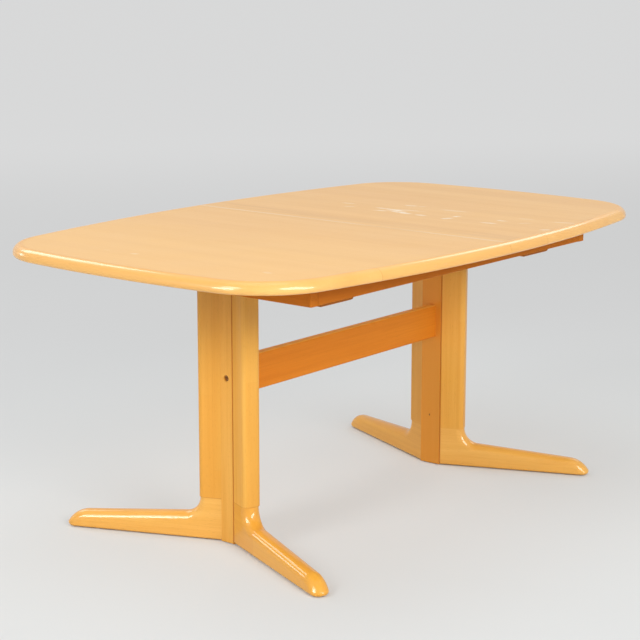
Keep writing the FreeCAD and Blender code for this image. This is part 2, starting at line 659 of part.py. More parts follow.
# Side rails of the frame, and guide bars with a stopped groove in each face.
for side_name, side in sides:
    length = ("rail_end_gap - frame_in_x", "frame_in_x - rail_end_gap")
    rail = block(side_name + "_rail_bar", length, span(side, "rail_in_y", "rail_out_y"),
                 ("rail_z", "under_z - top_gap"))
    rail = eased(side_name + "_rail_round", rail, value["rail_edge_r"],
                 lambda edge, centre: runs_along(edge, "x") and (middle_of(edge).y - centre.y) * side > 0)
    keep(side_name + "_side_rail", cut(side_name + "_rail_cut", rail, rail_holes[side_name]))
    bar = block(side_name + "_guide", ("-guide_end_x", "guide_end_x"),
                span(side, "guide_in_y", "guide_out_y"), ("cross_top_z", "under_z - runner_relief - top_gap"))
    height = around("tongue_z", "tongue_h/2 + tongue_gap")
    depth = "tongue_out - runner_gap + tongue_gap"
    back = "tongue_back + pull + stop_gap"
    fore = "tongue_fore + stop_gap"
    groove_out = block(side_name + "_groove_out", ("-(%s)" % back, fore),
                       span(side, "guide_out_y - (%s)" % depth, "guide_out_y + overrun"), height)
    groove_in = block(side_name + "_groove_in", ("-(%s)" % fore, back),
                      span(side, "guide_in_y - overrun", "guide_in_y + (%s)" % depth), height)
    keep(side_name + "_guide_bar", cut(side_name + "_guide_cut", bar,
                                       [groove_out, groove_in] + guide_holes[side_name]))

# Pins and bushes in the edges of the leaf and of the halves.
pin_spots = (("a", "-pin_far_y"), ("b", "-pin_y"), ("c", "pin_y"), ("d", "pin_far_y"))


def ring(name, axis, start, end, at):
    disc = rod(name + "_disc", "bush_r", axis, start, end, at)
    eye = rod(name + "_eye", "pin_r + bush_gap", axis, "(%s) - overrun" % start, "(%s) + overrun" % end, at)
    return cut(name, disc, [eye])


# Extension leaf, stored lengthwise on the cross rails.
leaf_z = ("cross_top_z", "cross_top_z + top_t")
leaf_mid_z = "cross_top_z + top_t/2"
leaf_tools = []
leaf_pins = []
leaf_bushes = []
for spot, x_at in pin_spots:
    at = (x_at, leaf_mid_z)
    leaf_pins.append(rod("leaf_pin_" + spot, "pin_r", "y", "leaf_wid/2 - pin_in", "leaf_wid/2 + pin_out",
                         at))
    leaf_tools.append(rod("leaf_pin_hole_" + spot, "pin_r + fit_gap", "y", "leaf_wid/2 - pin_in - fit_gap",
                          "leaf_wid/2 + overrun", at))
    leaf_bushes.append(ring("leaf_bush_" + spot, "y", "-leaf_wid/2", "bush_len - leaf_wid/2", at))
    leaf_tools.append(rod("leaf_bush_hole_" + spot, "bush_r + fit_gap", "y", "-leaf_wid/2 - overrun",
                          "bush_len - leaf_wid/2 + fit_gap", at))
board = block("leaf_board", ("lip_w - half_wid", "half_wid - lip_w"), ("-leaf_wid/2", "leaf_wid/2"), leaf_z)
keep("leaf_panel", cut("leaf_cut", board, leaf_tools))
leaf_lips = []
top_limit = min(value["top_t"] * value["lip_top_share"], value["lip_w"] * value["lip_edge_share"])
top_round = min(value["lip_top_r"], top_limit)
low_round = min(value["lip_low_r"], value["top_t"] * value["lip_low_share"])


def lip_edge(end, up):
    # The long outer edge of a leaf lipping, upper or lower.
    def test(edge, centre):
        spot = middle_of(edge) - centre
        return runs_along(edge, "y") and spot.x * end > abs(spot.x) / 2 and spot.z * up > top_round / 2
    return test


for end_name, end in ends:
    lip = block(end_name + "_leaf_lip", span(end, "half_wid - lip_w", "half_wid"),
                ("-leaf_wid/2", "leaf_wid/2"), leaf_z)
    lip = eased(end_name + "_leaf_lip_top", lip, top_round, lip_edge(end, 1))
    lip = eased(end_name + "_leaf_lip_low", lip, low_round, lip_edge(end, -1))
    leaf_lips.append(lip)
keep("leaf_lippings", group("leaf_lip_set", leaf_lips))
keep("leaf_pins", group("leaf_pin_set", leaf_pins))
keep("leaf_bushes", group("leaf_bush_set", leaf_bushes))


# Halves of the top: bowed outline from three large arcs, plan corners rounded.
def half_slab(name, end, inset, corner):
    zs = ("under_z", "top_z")
    made = []
    for side_name, side in sides:
        at = ("0", signed(-side, "side_arc_r - half_wid"))
        made.append(rod("%s_%s_arc" % (name, side_name), "side_arc_r - (%s)" % inset, "z", zs[0], zs[1], at))
    at = (signed(-end, "end_arc_r - half_len"), "0")
    made.append(rod(name + "_end_arc", "end_arc_r - (%s)" % inset, "z", zs[0], zs[1], at))
    made.append(block(name + "_room", span(end, "seam_gap/2", "half_len + overrun"),
                      ("-half_wid - overrun", "half_wid + overrun"), zs))
    slab = shared(name + "_lens", made)
    doc.recompute()
    away = value["top_len"] / 4
    made = doc.addObject("Part::Fillet", name + "_corners")
    made.Base = slab
    places = edges_where(slab.Shape, lambda edge: runs_along(edge, "z") and middle_of(edge).x * end > away)
    made.Edges = [(place, corner, corner) for place in places]
    doc.recompute()
    return made


def edge_of_half(end, up):
    # The edges around a half, upper or lower, without the seam.
    tiny = value["seam_gap"]

    def test(edge, centre):
        spot = middle_of(edge)
        level = abs((spot.z - centre.z) * up - value["top_t"] / 2) < tiny
        return level and spot.x * end > tiny and not runs_along(edge, "z")
    return test


rail_screw_spots = (
    ("a", "-rail_screw_y"),
    ("b", "-rail_screw_in_y"),
    ("c", "rail_screw_in_y"),
    ("d", "rail_screw_y"),
)
for end_name, end in ends:
    slab = half_slab(end_name + "_slab", end, "0", value["corner_r"])
    slab = eased(end_name + "_slab_top", slab, top_round, edge_of_half(end, 1))
    slab = eased(end_name + "_slab_low", slab, low_round, edge_of_half(end, -1))
    core = half_slab(end_name + "_core", end, "lip_w", value["corner_r"] - value["lip_w"])
    rim = cut(end_name + "_rim", slab, [core])
    joint = "lip_joint_" + end_name
    wide = ("-half_wid - overrun", "half_wid + overrun")
    tall = ("under_z - overrun", "top_z + overrun")
    box = block(end_name + "_end_room", span(end, joint, "half_len + overrun"), wide, tall)
    keep(end_name + "_end_lipping", shared(end_name + "_end_lip", [rim, box]))
    for side_name, side in sides:
        name = "%s_%s" % (end_name, side_name)
        box = block(name + "_lip_room", span(end, "0", joint), span(side, "0", "half_wid + overrun"), tall)
        keep(name + "_lipping", shared(name + "_lip", [rim, box]))

    panel_tools = []
    screws = []
    # End rail, screwed up to the panel.
    rail = block(end_name + "_end_bar", span(end, "frame_in_x", "frame_out_x"), ("-rail_out_y", "rail_out_y"),
                 ("rail_z", "under_z"))
    upper = value["apron_h"] / 2 - value["fit_gap"]
    outward = value["end_rail_t"] / 2 - value["fit_gap"]

    def show_edge(edge, centre):
        spot = middle_of(edge) - centre
        return spot.x * end > outward and spot.z < upper

    rail = eased(end_name + "_end_round", rail, value["rail_edge_r"], show_edge)
    rail_tools = []
    face = "screw_top_z - top_screw_len"
    sink = "%s - rail_z" % face
    for spot, y_at in rail_screw_spots:
        name = "%s_rail_screw_%s" % (end_name, spot)
        at = (signed(end, "frame_in_x + end_rail_t/2"), y_at)
        screws.append(screw(name, "up", face, "top_screw_len", at))
        hole = screw_hole(name + "_hole", "up", face, "top_screw_len", at, sink)
        rail_tools += hole
        panel_tools += hole[1:]
    keep(end_name + "_end_rail", cut(end_name + "_end_rail_cut", rail, rail_tools))

    # Runners: the near half runs outside the guide bars, the far half inside them.
    tongues = []
    for side_name, side in sides:
        name = "%s_%s" % (end_name, side_name)
        lane = ("outer_in_y", "outer_out_y") if end < 0 else ("inner_in_y", "inner_out_y")
        level_z = ("runner_low_z", "under_z")
        bar = block(name + "_runner_bar", span(end, "-runner_reach", "frame_in_x"), span(side, *lane),
                    level_z)
        step = block(name + "_relief", span(end, "-runner_reach - overrun", "0"),
                     span(side, lane[0] + " - overrun", lane[1] + " + overrun"),
                     ("under_z - runner_relief", "under_z + overrun"))
        if end < 0:
            depth = ("outer_in_y - tongue_out", "outer_in_y + tongue_in")
            slot = ("outer_in_y - overrun", "outer_in_y + tongue_in")
        else:
            depth = ("inner_out_y - tongue_in", "inner_out_y + tongue_out")
            slot = ("inner_out_y - tongue_in", "inner_out_y + overrun")
        length = span(end, "-tongue_fore", "tongue_back")
        height = around("tongue_z", "tongue_h/2")
        tongues.append(block(name + "_tongue", length, span(side, *depth), height))
        tools = [step, block(name + "_tongue_slot", length, span(side, *slot), height)]
        lane_mid = "%s + runner_w/2" % lane[0]
        # As many screws as the run from the seam to the runner's end takes at their spacing.
        doc.recompute()
        run = bar.Length.Value - value["runner_reach"] - value["runner_screw_off"] - value["runner_screw_end"]
        last = int(run // value["runner_screw_step"])
        for number in range(last + 1):
            spot = "runner_screw_off + %d*runner_screw_step" % number
            at = (signed(end, spot), signed(side, lane_mid))
            sink = "%s - runner_low_z" % face
            label = "%s_runner_screw_%d" % (name, number + 1)
            screws.append(screw(label, "up", face, "top_screw_len", at))
            hole = screw_hole(label + "_hole", "up", face, "top_screw_len", at, sink)
            tools += hole
            panel_tools += hole[1:]
        keep(name + "_runner", cut(name + "_runner_cut", bar, tools))
    keep(end_name + "_tongues", group(end_name + "_tongue_set", tongues))
    keep(end_name + "_screws", group(end_name + "_screw_set", screws))

    # Seam pins in the near half, bushes in the far half.
    fitted = []
    for spot, y_at in pin_spots:
        at = (y_at, "mid_top_z")
        if end < 0:
            fitted.append(rod("seam_pin_" + spot, "pin_r", "x", "-pin_in", "pin_out", at))
            panel_tools.append(rod("seam_pin_hole_" + spot, "pin_r + fit_gap", "x", "-pin_in - fit_gap",
                                   "overrun", at))
        else:
            fitted.append(ring("seam_bush_" + spot, "x", "seam_gap/2", "seam_gap/2 + bush_len", at))
            panel_tools.append(rod("seam_bush_hole_" + spot, "bush_r + fit_gap", "x", "-overrun",
                                   "seam_gap/2 + bush_len + fit_gap", at))
    keep("seam_pins" if end < 0 else "seam_bushes", group(end_name + "_fitted", fitted))

    # Pivots of the hooks under the near half, studs under the far half.
    turned = []
    for side_name, side in sides:
        name = "%s_%s_stud" % (end_name, side_name)
        at = (signed(end, "hook_reach/2"), signed(side, "latch_y"))
        neck_low = "hook_low_z - hook_play"
        turned.append(fused(name, [
            rod(name + "_neck", "pivot_r", "z", neck_low, "under_z + pivot_in", at),
            rod(name + "_collar", "pivot_head_r", "z", "hook_top_z + hook_play", "under_z", at),
            rod(name + "_head", "pivot_head_r", "z", neck_low + " - pivot_head_h", neck_low, at),
        ]))
        panel_tools.append(rod(name + "_hole", "pivot_r + fit_gap", "z", "under_z - overrun",
                               "under_z + pivot_in + fit_gap", at))
    keep("hook_pivots" if end < 0 else "hook_studs", group(end_name + "_turned", turned))
    keep(end_name + "_panel", cut(end_name + "_panel_cut", core, panel_tools))

# Hooks, shown swung open along the side rails; the notch takes the stud when a hook is swung shut.
for side_name, side in sides:
    name = side_name + "_hook"
    x_at = "-hook_reach/2"
    zs = ("hook_low_z", "hook_top_z")
    y_at = signed(side, "latch_y")
    pivot = (x_at, y_at)
    tip_x = "%s - hook_reach" % x_at
    bar = block(name + "_bar", ("%s - hook_tip" % tip_x, x_at), around(y_at, "hook_w/2"), zs)
    eye = rod(name + "_eye", "hook_w/2", "z", zs[0], zs[1], pivot)
    slack = "pivot_r + slot_gap"
    tall = ("hook_low_z - overrun", "hook_top_z + overrun")
    tools = [
        rod(name + "_hole", "pivot_r + hook_gap", "z", tall[0], tall[1], pivot),
        rod(name + "_seat", slack, "z", tall[0], tall[1], (tip_x, y_at)),
        block(name + "_notch", around(tip_x, slack), span(side, "latch_y", "latch_y + overrun"), tall),
    ]
    keep(name, cut(name + "_cut", fused(name + "_plate", [bar, eye]), tools))

doc.recompute()

# Every object is checked before anything is written.
faults = [one.Name for one in doc.Objects if "Invalid" in one.State or "Error" in one.State]
for label, thing in pieces.items():
    shape = thing.Shape
    if shape.isNull() or not shape.isValid() or not shape.Solids:
        faults.append(label)
if faults:
    raise RuntimeError("faulty: " + ", ".join(faults))
os.makedirs("parts", exist_ok=True)
for label, thing in pieces.items():
    thing.Shape.exportStep("parts/%s.step" % label)
    print(label, len(thing.Shape.Solids), round(thing.Shape.Volume / 1000, 1))
print("pieces", len(pieces))
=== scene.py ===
import math

import bpy
from mathutils import Matrix, Vector


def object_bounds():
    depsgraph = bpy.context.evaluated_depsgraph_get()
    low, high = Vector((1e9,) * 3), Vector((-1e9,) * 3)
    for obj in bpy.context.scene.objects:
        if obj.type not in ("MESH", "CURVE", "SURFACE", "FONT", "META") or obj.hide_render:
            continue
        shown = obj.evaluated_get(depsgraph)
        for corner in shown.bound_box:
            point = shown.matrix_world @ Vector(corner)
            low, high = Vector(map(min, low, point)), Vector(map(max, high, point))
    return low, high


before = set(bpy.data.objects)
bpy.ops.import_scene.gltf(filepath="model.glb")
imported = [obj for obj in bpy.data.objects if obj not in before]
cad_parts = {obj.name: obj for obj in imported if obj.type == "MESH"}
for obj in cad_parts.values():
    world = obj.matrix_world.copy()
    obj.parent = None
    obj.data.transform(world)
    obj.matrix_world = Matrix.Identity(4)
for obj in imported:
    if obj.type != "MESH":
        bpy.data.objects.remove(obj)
cadLow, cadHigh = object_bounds()
frameTop = cadHigh[2]
print("frame loaded:", len(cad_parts), "pieces")

bpy.ops.object.select_all(action="DESELECT")  # the loaded pieces come in selected


def tone(red, green, blue):
    # a paint-chart colour, 0 to 255, as the shader wants it
    def straight(part):
        part = part / 255
        return part / 12.92 if part <= 0.04045 else ((part + 0.055) / 1.055) ** 2.4
    return (straight(red), straight(green), straight(blue), 1.0)


# node helpers

def put(tree, kind, settings=None, **sockets):
    made = tree.nodes.new(kind)
    for name, setting in (settings or {}).items():
        setattr(made, name, setting)
    for name, setting in sockets.items():
        feed(tree, setting, made.inputs[name])
    return made


def feed(tree, source, socket):
    # a socket takes a link from another node or a plain value
    if isinstance(source, bpy.types.NodeSocket):
        tree.links.new(source, socket)
    else:
        socket.default_value = source


def sums(tree, operation, *sources, clamp=False):
    made = put(tree, "ShaderNodeMath", {"operation": operation, "use_clamp": clamp})
    for place, source in enumerate(sources):
        feed(tree, source, made.inputs[place])
    return made.outputs[0]


def vectorSums(tree, operation, *sources):
    made = put(tree, "ShaderNodeVectorMath", {"operation": operation})
    for place, source in enumerate(sources):
        feed(tree, source, made.inputs[place])
    return made.outputs


def stretched(tree, vector, scale, detail, rough, move=(0.0, 0.0, 0.0)):
    # noise drawn out along one way by its own scale
    mapped = put(tree, "ShaderNodeMapping", Vector=vector, Scale=scale, Location=move)
    noise = put(tree, "ShaderNodeTexNoise", Vector=mapped.outputs[0], Scale=1.0, Detail=detail,
                Roughness=rough)
    return noise.outputs[0]


def remap(tree, source, low, high, toLow=0.0, toHigh=1.0):
    made = put(tree, "ShaderNodeMapRange", {"interpolation_type": "SMOOTHSTEP"})
    for name, setting in (("Value", source), ("From Min", low), ("From Max", high),
                          ("To Min", toLow), ("To Max", toHigh)):
        feed(tree, setting, made.inputs[name])
    return made.outputs[0]


def blendColour(tree, factor, first, second):
    made = put(tree, "ShaderNodeMix", {"data_type": "RGBA"})
    feed(tree, factor, made.inputs[0])
    feed(tree, first, made.inputs[6])
    feed(tree, second, made.inputs[7])
    return made.outputs[2]


def objectPlace(tree):
    return tree.nodes.new("ShaderNodeTexCoord").outputs["Object"]


def objectParts(tree):
    return put(tree, "ShaderNodeSeparateXYZ", Vector=objectPlace(tree)).outputs


def newGroup(name, inputs, outputs):
    group = bpy.data.node_groups.new(name, "ShaderNodeTree")
    for label, kind in inputs:
        group.interface.new_socket(name=label, in_out="INPUT", socket_type=kind)
    for label, kind in outputs:
        group.interface.new_socket(name=label, in_out="OUTPUT", socket_type=kind)
    entry = group.nodes.new("NodeGroupInput")
    leave = group.nodes.new("NodeGroupOutput")
    return group, entry.outputs, leave.inputs


def useGroup(tree, group, **sockets):
    made = put(tree, "ShaderNodeGroup", {"node_tree": group}, **sockets)
    return made.outputs


# shared effects: grain, boards, lacquer, scuffs

grainLook = {                          # scales are per metre, along the grain and across it
    "drift": {"Scale": 1.6, "Detail": 1.0},
    "wander": (0.0, 0.012, 0.012),     # how far the lines stray, in metres
    "band": {"scale": (0.7, 11.0, 11.0), "detail": 2.0, "rough": 0.5},
    "bandRange": (0.3, 0.7),
    "streak": {"scale": (2.4, 120.0, 120.0), "detail": 4.0, "rough": 0.6, "move": (3.1, 0.0, 0.0)},
    "fine": {"scale": (9.0, 620.0, 620.0), "detail": 2.0, "rough": 0.6, "move": (0.0, 5.3, 0.0)},
    "streakPart": 0.6, "finePart": 0.4,
    "streakRange": (0.36, 0.64),
    "fleck": {"scale": (95.0, 900.0, 900.0), "detail": 1.0, "rough": 0.4, "move": (0.0, 0.0, 7.7)},
    "fleckRange": (0.66, 0.74),
}


def buildGrain(look):
    # grain runs along X of the vector that comes in
    group, take, give = newGroup(
        "woodGrain",
        [("Vector", "NodeSocketVector")],
        [("Band", "NodeSocketFloat"), ("Streak", "NodeSocketFloat"), ("Fleck", "NodeSocketFloat"),
         ("Height", "NodeSocketFloat")])
    drift = put(group, "ShaderNodeTexNoise", Vector=take["Vector"], **look["drift"])
    # the lines wander a little, as grown wood does
    line = vectorSums(group, "MULTIPLY_ADD", drift.outputs[1], look["wander"], take["Vector"])[0]
    band = stretched(group, line, **look["band"])
    streak = stretched(group, line, **look["streak"])
    fine = stretched(group, line, **look["fine"])
    fleck = stretched(group, line, **look["fleck"])
    both = sums(group, "MULTIPLY_ADD", fine, look["finePart"],
                sums(group, "MULTIPLY", streak, look["streakPart"]))
    feed(group, remap(group, band, *look["bandRange"]), give["Band"])
    feed(group, remap(group, both, *look["streakRange"]), give["Streak"])
    feed(group, remap(group, fleck, *look["fleckRange"]), give["Fleck"])
    feed(group, both, give["Height"])
    return group


def buildBoards():
    # boards side by side along Y of the vector, jointed along X, each piece with its own tone,
    # and the lines between them
    group, take, give = newGroup(
        "glueLines",
        [("Vector", "NodeSocketVector"), ("Width", "NodeSocketFloat"), ("Length", "NodeSocketFloat"),
         ("Line", "NodeSocketFloat")],
        [("Tone", "NodeSocketFloat"), ("Line", "NodeSocketFloat")])
    split = put(group, "ShaderNodeSeparateXYZ", Vector=take["Vector"])
    across = sums(group, "DIVIDE", split.outputs[1], take["Width"])
    board = sums(group, "FLOOR", across)
    start = put(group, "ShaderNodeTexWhiteNoise", {"noise_dimensions": "1D"}, W=board)
    along = sums(group, "ADD", sums(group, "DIVIDE", split.outputs[0], take["Length"]), start.outputs[0])
    place = put(group, "ShaderNodeCombineXYZ", X=board, Y=sums(group, "FLOOR", along))
    chance = put(group, "ShaderNodeTexWhiteNoise", {"noise_dimensions": "2D"}, Vector=place.outputs[0])
    feed(group, chance.outputs[0], give["Tone"])
    depths = []
    for run, size in ((across, take["Width"]), (along, take["Length"])):
        inside = sums(group, "FRACT", run)
        edge = sums(group, "MINIMUM", inside, sums(group, "SUBTRACT", 1.0, inside))
        depths.append(sums(group, "MULTIPLY", edge, size))
    line = remap(group, sums(group, "MINIMUM", *depths), 0.0, take["Line"], 1.0, 0.0)
    feed(group, line, give["Line"])
    return group


lacquerLook = {
    "cloud": {"Scale": 7.0, "Detail": 3.0},
    "cloudMiddle": 0.5,
    "peel": {"Scale": 160.0, "Detail": 1.0},
    "hair": {"scale": (26.0, 300.0, 300.0), "detail": 2.0, "rough": 0.5, "move": (1.9, 0.0, 0.0)},
    "hairRange": (0.68, 0.76),
    "hairRough": 0.06,
}


def buildLacquer(look):
    # a rubbed lacquer: faint orange peel, cloudy gloss and hairline marks
    group, take, give = newGroup(
        "lacquer",
        [("Vector", "NodeSocketVector"), ("Base", "NodeSocketFloat"), ("Spread", "NodeSocketFloat")],
        [("Roughness", "NodeSocketFloat"), ("Peel", "NodeSocketFloat")])
    cloud = put(group, "ShaderNodeTexNoise", Vector=take["Vector"], **look["cloud"])
    peel = put(group, "ShaderNodeTexNoise", Vector=take["Vector"], **look["peel"])
    hair = remap(group, stretched(group, take["Vector"], **look["hair"]), *look["hairRange"])
    wide = sums(group, "SUBTRACT", cloud.outputs[0], look["cloudMiddle"])
    level = sums(group, "ADD", take["Base"], sums(group, "MULTIPLY", wide, take["Spread"]))
    feed(group, sums(group, "MULTIPLY_ADD", hair, look["hairRough"], level, clamp=True), give["Roughness"])
    feed(group, peel.outputs[0], give["Peel"])
    return group


markCore = 0.3   # share of a mark's reach that is marked in full


def buildMark():
    # a soft-edged oval mark: 1 in its middle, 0 past its reach
    group, take, give = newGroup(
        "ovalMark",
        [("Vector", "NodeSocketVector"), ("Centre", "NodeSocketVector"), ("Reach", "NodeSocketVector"),
         ("Turn", "NodeSocketFloat")],
        [("Mask", "NodeSocketFloat")])
    away = vectorSums(group, "SUBTRACT", take["Vector"], take["Centre"])[0]
    turned = put(group, "ShaderNodeVectorRotate", {"rotation_type": "Z_AXIS"},
                 Vector=away, Angle=take["Turn"])
    share = vectorSums(group, "DIVIDE", turned.outputs[0], take["Reach"])[0]
    length = vectorSums(group, "LENGTH", share)["Value"]
    feed(group, remap(group, length, markCore, 1.0, 1.0, 0.0), give["Mask"])
    return group


woodGrain = buildGrain(grainLook)
glueLines = buildBoards()
lacquer = buildLacquer(lacquerLook)
ovalMark = buildMark()
print("shared effects built")


# materials

def emptyMaterial(name):
    made = bpy.data.materials.new(name)
    made.use_nodes = True
    tree = made.node_tree
    tree.nodes.clear()
    shader = tree.nodes.new("ShaderNodeBsdfPrincipled")
    out = tree.nodes.new("ShaderNodeOutputMaterial")
    tree.links.new(shader.outputs[0], out.inputs[0])
    return made, tree, shader


def grainWay(tree, turn):
    # turns Object coordinates so that the grain lies along X; turn is in degrees about X, Y and Z
    mapped = put(tree, "ShaderNodeMapping", {"vector_type": "TEXTURE"}, Vector=objectPlace(tree),
                 Rotation=tuple(math.radians(part) for part in turn))
    return mapped.outputs[0]


def woodMaterial(look):
    made, tree, shader = emptyMaterial(look["name"])
    way = grainWay(tree, look["turn"])
    grain = useGroup(tree, woodGrain, Vector=way)
    boards = useGroup(tree, glueLines, Vector=way, Width=look["boardWidth"], Length=look["boardLength"],
                      Line=look["lineWidth"])
    finish = useGroup(tree, lacquer, Vector=way, Base=look["gloss"], Spread=look["glossSpread"])
    colour = blendColour(tree, grain["Band"], look["dark"], look["pale"])
    layers = ((boards["Tone"], "boardShare", "boardTone"), (grain["Streak"], "streakShare", "streak"),
              (grain["Fleck"], "fleckShare", "fleck"), (boards["Line"], "lineShare", "fleck"))
    for mask, share, over in layers:
        colour = blendColour(tree, sums(tree, "MULTIPLY", mask, look[share]), colour, look[over])
    for extra in look.get("extras", ()):
        colour = extra(tree, colour)
    tree.links.new(colour, shader.inputs["Base Color"])
    tree.links.new(finish["Roughness"], shader.inputs["Roughness"])
    height = sums(tree, "MULTIPLY_ADD", grain["Height"], look["grainDepth"], finish["Peel"])
    bump = put(tree, "ShaderNodeBump", Strength=look["bump"], Distance=look["bumpDepth"], Height=height)
    tree.links.new(bump.outputs[0], shader.inputs["Normal"])
    feed(tree, look["coatOf"](tree) if "coatOf" in look else look["coat"], shader.inputs["Coat Weight"])
    shader.inputs["Coat Roughness"].default_value = look["coatRough"]
    shader.inputs["Specular IOR Level"].default_value = look["shine"]
    return made


topMarks = {
    "thick": 0.5,                     # reach of a mark above and below its surface
    "width": 0.011,
    "ragged": {"scale": (620.0, 40.0, 1.0), "detail": 3.0, "rough": 0.6}, "raggedRange": (0.4, 0.54),
    "scuffColour": tone(255, 246, 226),
    "scuffs": [
        # x, y, half length, turn from the crosswise line in degrees, strength
        (0.261, 0.075, 0.027, 8, 0.5), (0.257, 0.026, 0.05, 6, 0.95), (0.225, 0.049, 0.026, -21, 0.6),
        (0.233, -0.006, 0.055, 11, 1.0), (0.226, -0.031, 0.024, -4, 1.0), (0.224, -0.08, 0.023, 5, 0.7),
        (0.349, 0.041, 0.023, -12, 0.6), (0.28, 0.198, 0.028, -2, 0.4), (0.233, 0.16, 0.022, -16, 0.3),
        (0.274, -0.007, 0.06, -12, 0.35), (0.353, 0.006, 0.014, -24, 0.25), (0.344, -0.104, 0.054, -5, 0.4),
        (0.222, -0.166, 0.023, -63, 1.0), (0.264, -0.165, 0.019, -74, 0.85), (0.223, -0.288, 0.03, -6, 0.7),
        (0.277, -0.296, 0.021, 3, 0.7), (0.34, -0.329, 0.03, -12, 0.25), (0.278, -0.363, 0.023, -48, 0.25),
        (0.349, -0.436, 0.05, -18, 0.4), (0.219, -0.459, 0.02, -30, 0.6),
        (-0.663, 0.155, 0.015, 6, 0.1), (-0.659, 0.07, 0.016, 0, 0.3), (-0.65, -0.31, 0.018, 12, 0.25),
    ],
    "seamStreaks": {"scale": (90.0, 3.0, 1.0), "detail": 3.0, "rough": 0.6}, "seamRange": (0.32, 0.6),
    "seamStain": tone(208, 158, 98), "stainShare": 0.4,
    "stainRise": (0.014, 0.04), "stainFall": (0.055, 0.11),   # x where the stain begins and ends
    "seamPaleEdge": tone(255, 238, 204), "paleEdgeShare": 0.5, "paleEdgeReach": (0.002, 0.0075),
    "seamGap": tone(150, 96, 46), "gapShare": 0.6, "gapReach": (0.0004, 0.0011),
    # the top lighter and warmer towards the near end: painted light
    "nearLightTone": tone(247, 196, 116), "nearLightShare": 0.5, "nearLightReach": (-0.75, 0.1),
}


def scuffed(tree, colour):
    # short pale scuffs across the top, broken up by the grain
    place = objectPlace(tree)
    ragged = remap(tree, stretched(tree, place, **topMarks["ragged"]), *topMarks["raggedRange"])
    found = None
    for across, along, half, turn, strength in topMarks["scuffs"]:
        mark = useGroup(tree, ovalMark, Vector=place, Centre=(across, along, frameTop),
                        Reach=(topMarks["width"], half, topMarks["thick"]), Turn=math.radians(turn))
        level = sums(tree, "MULTIPLY", mark["Mask"], strength)
        found = level if found is None else sums(tree, "MAXIMUM", found, level)
    return blendColour(tree, sums(tree, "MULTIPLY", found, ragged), colour, topMarks["scuffColour"])


def seamed(tree, colour):
    # pale edges on either side of the seam, a darker band beside it, and the dark of the gap itself
    place = objectPlace(tree)
    across = put(tree, "ShaderNodeSeparateXYZ", Vector=place).outputs[0]
    away = sums(tree, "ABSOLUTE", across)
    streaks = remap(tree, stretched(tree, place, **topMarks["seamStreaks"]), *topMarks["seamRange"])
    rise = remap(tree, across, *topMarks["stainRise"])
    fall = remap(tree, across, *topMarks["stainFall"], 1.0, 0.0)
    stain = sums(tree, "MULTIPLY", sums(tree, "MULTIPLY", rise, fall), streaks)
    stain = sums(tree, "MULTIPLY", stain, topMarks["stainShare"])
    colour = blendColour(tree, stain, colour, topMarks["seamStain"])
    paleEdge = sums(tree, "MULTIPLY", remap(tree, away, *topMarks["paleEdgeReach"], 1.0, 0.0), streaks)
    paleEdge = sums(tree, "MULTIPLY", paleEdge, topMarks["paleEdgeShare"])
    colour = blendColour(tree, paleEdge, colour, topMarks["seamPaleEdge"])
    gap = remap(tree, away, *topMarks["gapReach"], topMarks["gapShare"], 0.0)
    return blendColour(tree, gap, colour, topMarks["seamGap"])


def paintedNearLight(tree, colour):
    # painted light: the top is painted lighter and warmer towards the near end
    near = remap(tree, objectParts(tree)[0], *topMarks["nearLightReach"], topMarks["nearLightShare"], 0.0)
    return blendColour(tree, near, colour, topMarks["nearLightTone"])


lipMarks = {
    "joints": (-0.462, 0.17),         # x of the butt joints along either side
    "jointReach": (0.0003, 0.0012),
    "glue": tone(206, 140, 62), "glueShare": 0.6,
    "rubbedDepth": (0.0005, 0.002),   # depth below the top over which the gloss comes back
    "rubbedCoat": 0.15, "fullCoat": 0.45,
}


def lipCoat(tree):
    # the flat beside the veneer is rubbed dull, the rounding keeps its gloss
    depth = sums(tree, "SUBTRACT", frameTop, objectParts(tree)[2])
    return remap(tree, depth, *lipMarks["rubbedDepth"], lipMarks["rubbedCoat"], lipMarks["fullCoat"])


def lipJoint(tree, colour):
    along = objectParts(tree)[0]
    for joint in lipMarks["joints"]:
        away = sums(tree, "ABSOLUTE", sums(tree, "SUBTRACT", along, joint))
        line = remap(tree, away, *lipMarks["jointReach"], lipMarks["glueShare"], 0.0)
        colour = blendColour(tree, line, colour, lipMarks["glue"])
    return colour


legMarks = {
    "grooves": [(0.4387, -0.0194), (0.395, -0.0315)],   # x and y of the open joint lines on either face
    "grooveReach": (0.0014, 0.0032),
    "dirt": tone(198, 121, 38), "dirtShare": 0.95,
    "knot": (0.395, 0.0035, 0.138), "knotReach": (0.02, 0.0026, 0.0042), "knotColour": tone(112, 62, 26),
    # the posts' inner faces darker: painted shade
    "innerShadeReach": (0.396, 0.399), "innerShadeTone": tone(226, 148, 50), "innerShadeShare": 0.85,
    "footJoint": 0.106,                                 # height of the glued joint of foot and column
    "footJointReach": (0.0003, 0.0011),
    "glueTone": tone(186, 112, 36), "glueShare": 0.55,
    "pedestalReach": (-0.1, 0.1),                       # x between the near pedestal and the far one
    "openShares": (1.0, 0.15),                          # how far their foot joints have opened
}


def openJoint(tree, colour):
    # dirt in the open joints beside the posts
    parts = objectParts(tree)
    flat = put(tree, "ShaderNodeCombineXYZ", X=sums(tree, "ABSOLUTE", parts[0]), Y=parts[1]).outputs[0]
    for across, along in legMarks["grooves"]:
        away = vectorSums(tree, "DISTANCE", flat, (across, along, 0.0))["Value"]
        near = remap(tree, away, *legMarks["grooveReach"], legMarks["dirtShare"], 0.0)
        colour = blendColour(tree, near, colour, legMarks["dirt"])
    return colour


def paintedInnerShade(tree, colour):
    # painted shade: the posts' inner faces are painted darker, for the shade under the top
    away = sums(tree, "ABSOLUTE", objectParts(tree)[0])
    innerShade = remap(tree, away, *legMarks["innerShadeReach"], legMarks["innerShadeShare"], 0.0)
    return blendColour(tree, innerShade, colour, legMarks["innerShadeTone"])


